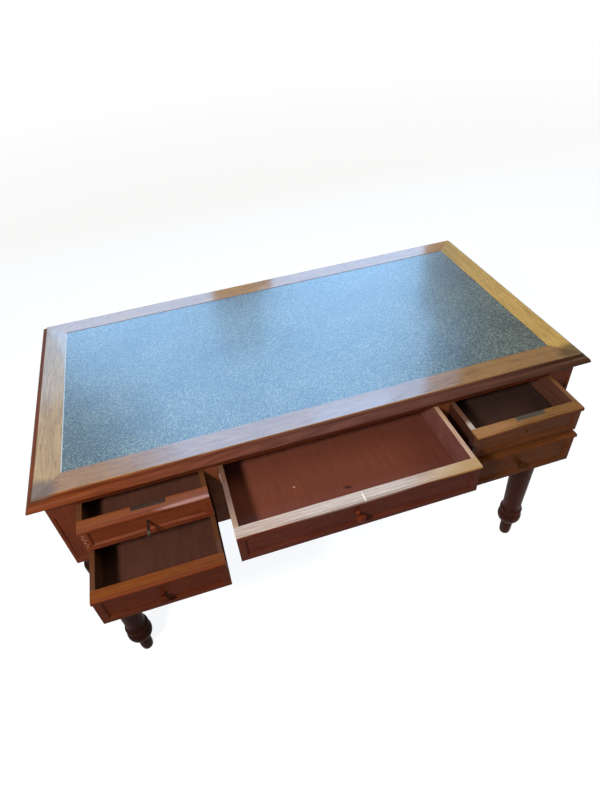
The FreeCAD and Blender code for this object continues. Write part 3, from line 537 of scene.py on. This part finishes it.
def lip_mark(name, colour, strength, start=0.0, end=1.0):
    """A tone along the lip of a front, between two shares of its length."""
    low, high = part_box(name)
    width = high.x - low.x
    half = (width * (end - start) / 2 / MARK_CORE, LIP_REACH, LIP_REACH)
    return mark_on(name, colour, strength, (width * (start + end) / 2, LIP_REACH / 2), half)


def highlight_dots_on(name):
    """Painted highlight dots down the left end of a front, standing for glints on its bevel."""
    low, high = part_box(name)
    return [
        (HIGHLIGHT_DOT_COLOUR, HIGHLIGHT_DOT_STRENGTH, (low.x + across, low.y, high.z - down), (width, *HIGHLIGHT_DOT_HALF), 0.0)
        for across, down, width in HIGHLIGHT_DOTS
    ]


# Marks: node, colour, strength, place from the left front corner, half sizes and turn about Z; most are
# marks of use, the shaded side is painted shade and the lit end painted light
LEFT_STAIN = mark_on(
    "top_frame_front", (0.115, 0.085, 0.070, 1), 0.82, (0.026, 0.03355), (0.046, 0.040, 0.010))
RIGHT_STAIN = mark_on(
    "top_frame_front", (0.075, 0.042, 0.016, 1), 0.8, (1.274, 0.02855), (0.055, 0.040, 0.010))
PALE_MIDDLE = mark_on(
    "centre_drawer_front", (0.74, 0.74, 0.70, 1), 0.16, (0.2522, 0.0135), (0.17, 0.030, 0.005))
YELLOWED_END = mark_on(
    "centre_drawer_front", (0.46, 0.28, 0.10, 1), 0.48, (0.5322, 0.0135), (0.16, 0.030, 0.005))
BROWN_END = mark_on(
    "centre_drawer_front", (0.34, 0.20, 0.07, 1), 0.55, (0.5422, 0.0135), (0.09, 0.030, 0.005))
PALE_SCRATCH = mark_on(
    "centre_drawer_front", (0.85, 0.80, 0.70, 1), 0.9, (0.2653, 0.0125), (0.0016, 0.016, 0.004), 0.03)
# Painted shade along the centre drawer's left side towards the case, where the top's overhang shades it
SHADED_SIDE = mark_on(
    "centre_drawer_left_side", (0.10, 0.044, 0.032, 1), 0.85, (0.0052, 0.1905), (0.030, 0.18, 0.004))
DARK_STAIN = mark_on(
    "centre_drawer_bottom", (0.03, 0.014, 0.01, 1), 0.85, (0.2563, 0.0753), (0.011, 0.005, 0.004), -0.35)
PALE_SPECK = mark_on(
    "centre_drawer_bottom", (0.45, 0.33, 0.25, 1), 0.8, (0.1443, 0.1169), (0.0035, 0.003, 0.003))
PALE_START = mark_on(
    "upper_right_drawer_front", (0.323, 0.160, 0.063, 1), 0.7, (0.0, 0.0145), (0.1342, 0.029, 0.006))
# Painted light: the pale front end of the upper right drawer's left side, lit beyond the top's shadow, while
# the rest of that side is a darker copy of the lining
LIT_END = mark_on(
    "upper_right_drawer_left_side", (0.60, 0.50, 0.42, 1), 0.6, (0.0055, 0.015), (0.02, 0.03, 0.004))
UPPER_LEFT_MARKS = [
    # painted highlight dots down the left end, glints on the bevel
    *highlight_dots_on("upper_left_drawer_front"),
    lip_mark("upper_left_drawer_front", RED_LIP, 0.7),
    # painted reflection along the right part of the lip
    lip_mark("upper_left_drawer_front", ROSE_LIP_REFLECTION, 0.42, start=0.68),
    joint_line("upper_left_drawer_front"),
]
LOWER_LEFT_MARKS = [
    lip_mark("lower_left_drawer_front", RED_LIP, 0.8),
    joint_line("lower_left_drawer_front"),
]
CENTRE_MARKS = [PALE_MIDDLE, YELLOWED_END, BROWN_END, joint_line("centre_drawer_front"), PALE_SCRATCH]
UPPER_RIGHT_MARKS = [PALE_START, joint_line("upper_right_drawer_front")]

# How each kind of piece is finished
TOP_FINISH = {
    "roughness": 0.26, "shine": 0.08, "top_coat": 1.0, "coat_roughness": 0.1, "coat_index": 1.8,
    "pore_depth": 0.6, "edge_colours": EDGE_STAIN_AND_SHEEN,
}
TOP_CORNER_FINISH = TOP_FINISH | {"marks": [LEFT_STAIN, RIGHT_STAIN]}
TOP_BACK_FINISH = TOP_FINISH | {"coat_index": 1.7}
PLAIN_FINISH = {"roughness": 0.6, "top_coat": 0.0}
CASE_FINISH = {"roughness": 0.38}
FRONT_FINISH = {"roughness": 0.38, "top_coat": 0.2, "worn_top": 0.9, "worn_share": 0.2}
UPPER_LEFT_FINISH = FRONT_FINISH | {"top_coat": 0.12, "marks": UPPER_LEFT_MARKS}
LOWER_LEFT_FINISH = FRONT_FINISH | {"shine": 0.03, "top_coat": 0.08, "marks": LOWER_LEFT_MARKS}
CENTRE_FINISH = FRONT_FINISH | {
    "shine": 0.04, "top_coat": 0.35, "pore_depth": 0.15, "worn_share": 0.03, "marks": CENTRE_MARKS,
}
UPPER_RIGHT_FINISH = FRONT_FINISH | {"marks": UPPER_RIGHT_MARKS}
# The lower right front's top face is kept dark, painted shade under the upper right drawer
LOWER_RIGHT_FINISH = FRONT_FINISH | {"shine": 0.03, "top_coat": 0.05, "worn_top": 0.12}
LINING_FINISH = {
    "roughness": 0.6, "shine": 0.0, "top_coat": 0.15, "worn_top": 0.9, "worn_share": 0.2, "pore_depth": 0.15,
}
SHADED_SIDE_FINISH = LINING_FINISH | {"marks": [SHADED_SIDE]}
LIT_END_FINISH = LINING_FINISH | {"marks": [LIT_END]}
BOTTOM_FINISH = {"roughness": 0.5, "shine": 0.03, "top_coat": 0.03, "worn_share": 0.2, "pore_depth": 0.12}
CENTRE_BOTTOM_FINISH = BOTTOM_FINISH | {"marks": [DARK_STAIN, PALE_SPECK]}
TURNED_FINISH = {"roughness": 0.34, "shine": 0.05, "top_coat": 0.0}
DULL_TURNED_FINISH = TURNED_FINISH | {"shine": 0.02}
KNOB_FINISH = TURNED_FINISH | {"roughness": 0.45, "shine": 0.008}

# Slot, wood, grain and finish of every kind of wooden node, by the start or end of its name, special ones
# first
BOARDS = {
    "top_frame_front": ("top_oak", TOP_OAK, "x", TOP_CORNER_FINISH),
    "top_frame_back": ("top_oak", TOP_BACK_OAK, "x", TOP_BACK_FINISH),
    "top_frame_left": ("top_oak", TOP_LEFT_OAK, "y", TOP_CORNER_FINISH),
    "top_frame_right": ("top_oak", TOP_RIGHT_OAK, "y", TOP_CORNER_FINISH),
    "top_panel": ("inner_wood", INNER, "x", PLAIN_FINISH),
    "partition": ("inner_wood", INNER, "y", PLAIN_FINISH),
    "drawer_runners": ("inner_wood", INNER, "y", PLAIN_FINISH),
    "drawer_kickers": ("inner_wood", INNER, "y", PLAIN_FINISH),
    "corner_post": ("case_oak", CASE_OAK, "z", CASE_FINISH),
    "inner_stiles": ("case_oak", STILE_OAK, "z", CASE_FINISH),
    "front_top_rail": ("case_oak", CASE_OAK, "x", CASE_FINISH),
    "drawer_dividers": ("case_oak", CASE_OAK, "x", CASE_FINISH),
    "pedestal_bottom_rails": ("case_oak", CASE_OAK, "x", CASE_FINISH),
    "kneehole_rail": ("case_oak", CASE_OAK, "x", CASE_FINISH),
    "end_rails": ("case_oak", CASE_OAK, "y", CASE_FINISH),
    "end_panel": ("case_oak", CASE_OAK, "y", CASE_FINISH),
    "back_top_rail": ("case_oak", CASE_OAK, "x", CASE_FINISH),
    "back_panels": ("case_oak", CASE_OAK, "x", CASE_FINISH),
    "upper_left_drawer_front": ("front_oak", UPPER_LEFT_OAK, "x", UPPER_LEFT_FINISH),
    "lower_left_drawer_front": ("front_oak", LOWER_LEFT_OAK, "x", LOWER_LEFT_FINISH),
    "centre_drawer_front": ("front_oak", CENTRE_OAK, "x", CENTRE_FINISH),
    "upper_right_drawer_front": ("front_oak", RIGHT_OAK, "x", UPPER_RIGHT_FINISH),
    "lower_right_drawer_front": ("front_oak", RIGHT_OAK, "x", LOWER_RIGHT_FINISH),
    "centre_drawer_bottom": ("drawer_lining", CENTRE_BOTTOM, "y", CENTRE_BOTTOM_FINISH),
    "upper_right_drawer_bottom": ("drawer_lining", RIGHT_BOTTOM, "y", BOTTOM_FINISH),
    "drawer_bottom": ("drawer_lining", DARK_BOTTOM, "y", BOTTOM_FINISH),
    "centre_drawer_back": ("drawer_lining", CENTRE_LINING, "x", LINING_FINISH),
    "drawer_back": ("drawer_lining", LEFT_LINING, "x", LINING_FINISH),
    "centre_drawer_left_side": ("drawer_lining", CENTRE_LINING, "y", SHADED_SIDE_FINISH),
    "centre_drawer_right_side": ("drawer_lining", CENTRE_RED_LINING, "y", LINING_FINISH),
    "upper_left_drawer": ("drawer_lining", LEFT_LINING, "y", LINING_FINISH),
    "lower_left_drawer": ("drawer_lining", LEFT_LINING, "y", LINING_FINISH),
    "upper_right_drawer_left_side": ("drawer_lining", SHADED_LINING, "y", LIT_END_FINISH),
    "upper_right_drawer_right_side": ("drawer_lining", RIGHT_RED_LINING, "y", LINING_FINISH),
    "lower_right_drawer": ("drawer_lining", RIGHT_LINING, "y", LINING_FINISH),
}
TURNINGS = {
    "leg_front_left": ("case_oak", DARK_TURNED, "z", DULL_TURNED_FINISH),
    "leg": ("case_oak", TURNED, "z", TURNED_FINISH),
    "lower_right_knob": ("turned_knob", RIGHT_KNOB, "y", KNOB_FINISH),
    "lower_left_knob": ("turned_knob", LEFT_KNOB, "y", KNOB_FINISH),
    "knob": ("turned_knob", CASE_OAK, "y", DULL_TURNED_FINISH),
}

made_woods = {}


def wood_for(choice):
    """The material of a kind of wooden node, made once for each wood, grain and finish."""
    slot, colours, grain, wear = choice
    key = (slot, colours, grain, id(wear))
    if key not in made_woods:
        made_woods[key] = wood(f"{slot}_{grain}_{len(made_woods)}", grain, colours, **wear)
    return made_woods[key]


def choice_for(name, table):
    """The entry whose name starts or ends this node's name, or None."""
    fitting = (entry for part, entry in table.items() if name.startswith(part) or name.endswith(part))
    return next(fitting, None)


def round_edges(name, material):
    """A board with its edges eased, in place of the square-edged one."""
    board = bmesh.new()
    board.from_mesh(nodes[name].data)
    bmesh.ops.remove_doubles(board, verts=board.verts, dist=MERGE_DISTANCE)
    bmesh.ops.dissolve_limit(board, angle_limit=FLAT_ANGLE, verts=board.verts, edges=board.edges)
    mesh = bpy.data.meshes.new(f"{name}_eased")
    board.to_mesh(mesh)
    board.free()
    mesh.materials.append(material)
    mesh.shade_smooth()
    piece = bpy.data.objects.new(f"{name}_eased", mesh)
    bpy.context.scene.collection.objects.link(piece)
    easing = piece.modifiers.new("easing", "BEVEL")
    easing.width = EDGE_ROUND
    easing.segments = EDGE_STEPS
    easing.limit_method = "ANGLE"
    easing.angle_limit = EDGE_ANGLE
    piece.modifiers.new("closing", "WELD").merge_threshold = WELD_DISTANCE
    piece.modifiers.new("flat_faces", "WEIGHTED_NORMAL")
    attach(piece, nodes[name]["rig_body"])
    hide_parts(name)


def paint(name, material):
    """A CAD node that keeps its shape and gets a finish."""
    node = nodes[name]
    node.data.materials.clear()
    node.data.materials.append(material)


def dress():
    """Every node gets its finish, and boards get eased edges."""
    lock_steel = steel("lock_steel", *LOCK_STEEL)
    brown_steel = steel("brown_lock_steel", *BROWN_LOCK_STEEL)
    key_iron = steel("key_iron", *KEY_IRON)
    cloth = leathercloth()
    for name in sorted(nodes):
        turning = choice_for(name, TURNINGS)
        board = choice_for(name, BOARDS)
        if name == "writing_leather":
            paint(name, cloth)
        elif name.startswith("upper_left_lock"):
            paint(name, brown_steel)
        elif "lock" in name:
            paint(name, lock_steel)
        elif name.endswith("key"):
            paint(name, key_iron)
        elif turning:
            paint(name, wood_for(turning))
        elif name in SQUARE_BOARDS:
            paint(name, wood_for(board))
        else:
            round_edges(name, wood_for(board))


def build_floor():
    """A pale floor that glows for the camera and mirrors, and keeps the table's shadow."""
    mesh = bpy.data.meshes.new("floor")
    corners = [(x * FLOOR_HALF, y * FLOOR_HALF, 0) for x, y in ((-1, -1), (1, -1), (1, 1), (-1, 1))]
    mesh.from_pydata(corners, [], [(0, 1, 2, 3)])
    floor = bpy.data.objects.new("floor", mesh)
    bpy.context.scene.collection.objects.link(floor)
    finish = Finish("pale_floor")
    finish.set(Base_Color=FLOOR_COLOUR, Roughness=1.0, Specular_IOR_Level=0.0)
    level = finish.spread(finish.length(finish.spot()), *FLOOR_FADE, FLOOR_GLOW, FAR_FLOOR_GLOW)
    glow = finish.math("MULTIPLY", finish.seen(), level)
    finish.set(Emission_Color=WHITE, Emission_Strength=glow)
    mesh.materials.append(finish.material)


def build_world():
    """A dim warm room, with a white band along the horizon for the camera and mirrors."""
    world = bpy.data.worlds.new("studio")
    bpy.context.scene.world = world
    sky = Nodes(world)
    way = sky.node("TexCoord").outputs["Generated"]
    height = sky.node("SeparateXYZ", Vector=way).outputs["Z"]
    band = sky.spread(height, HORIZON_HEIGHT, CEILING_HEIGHT, 1.0, 0.0)
    colour = sky.mix(sky.math("MULTIPLY", band, sky.seen()), ROOM_COLOUR, WHITE)
    sky.feed(sky.tree.nodes["Background"].inputs["Color"], colour)


def area_light(name, place, target, size, power, colour, mirrored=True):
    """A soft light aimed at a point, unseen by the camera and, where not mirrored, by polished faces."""
    data = bpy.data.lights.new(name, "AREA")
    data.shape = "RECTANGLE"
    data.size, data.size_y = size
    data.energy = power
    data.color = colour
    light = bpy.data.objects.new(name, data)
    light.location = place
    light.rotation_euler = (Vector(target) - Vector(place)).to_track_quat("-Z", "Y").to_euler()
    light.visible_camera = False
    light.visible_glossy = mirrored
    bpy.context.scene.collection.objects.link(light)


def build_lights():
    """The bank behind the table with its bright patch, the lamp at the left and the two fills."""
    for panels, distance in ((BANK_PANELS, BANK_DISTANCE), (GLOW_PANELS, GLOW_DISTANCE)):
        for name, (across, up, share) in panels.items():
            size = (across[1] - across[0], up[1] - up[0])
            place = (sum(across) / 2, distance, sum(up) / 2)
            power = share * BANK_RADIANCE * math.pi * size[0] * size[1]
            area_light(name, place, (place[0], 0.0, place[2]), size, power, SKY_COLOUR)
    area_light("left_lamp", LAMP_PLACE, AIM, LAMP_SIZE, LAMP_POWER, LAMP_COLOUR)
    area_light("front_fill", FILL_PLACE, AIM, FILL_SIZE, FILL_POWER, FILL_COLOUR, mirrored=False)
    area_light("side_fill", SIDE_PLACE, AIM, SIDE_SIZE, SIDE_POWER, SIDE_COLOUR)


def build_camera():
    """The camera where the photograph was taken from."""
    data = bpy.data.cameras.new("camera")
    data.sensor_width = SENSOR
    data.lens = FOCAL_PIXELS * SENSOR / max(IMAGE_SIZE)
    camera = bpy.data.objects.new("camera", data)
    camera.location = CAMERA_PLACE
    camera.rotation_euler = [math.radians(angle) for angle in CAMERA_TURN]
    bpy.context.scene.collection.objects.link(camera)
    bpy.context.scene.camera = camera


dress()
build_floor()
build_world()
build_lights()
build_camera()
bpy.context.scene.view_settings.view_transform = "Standard"
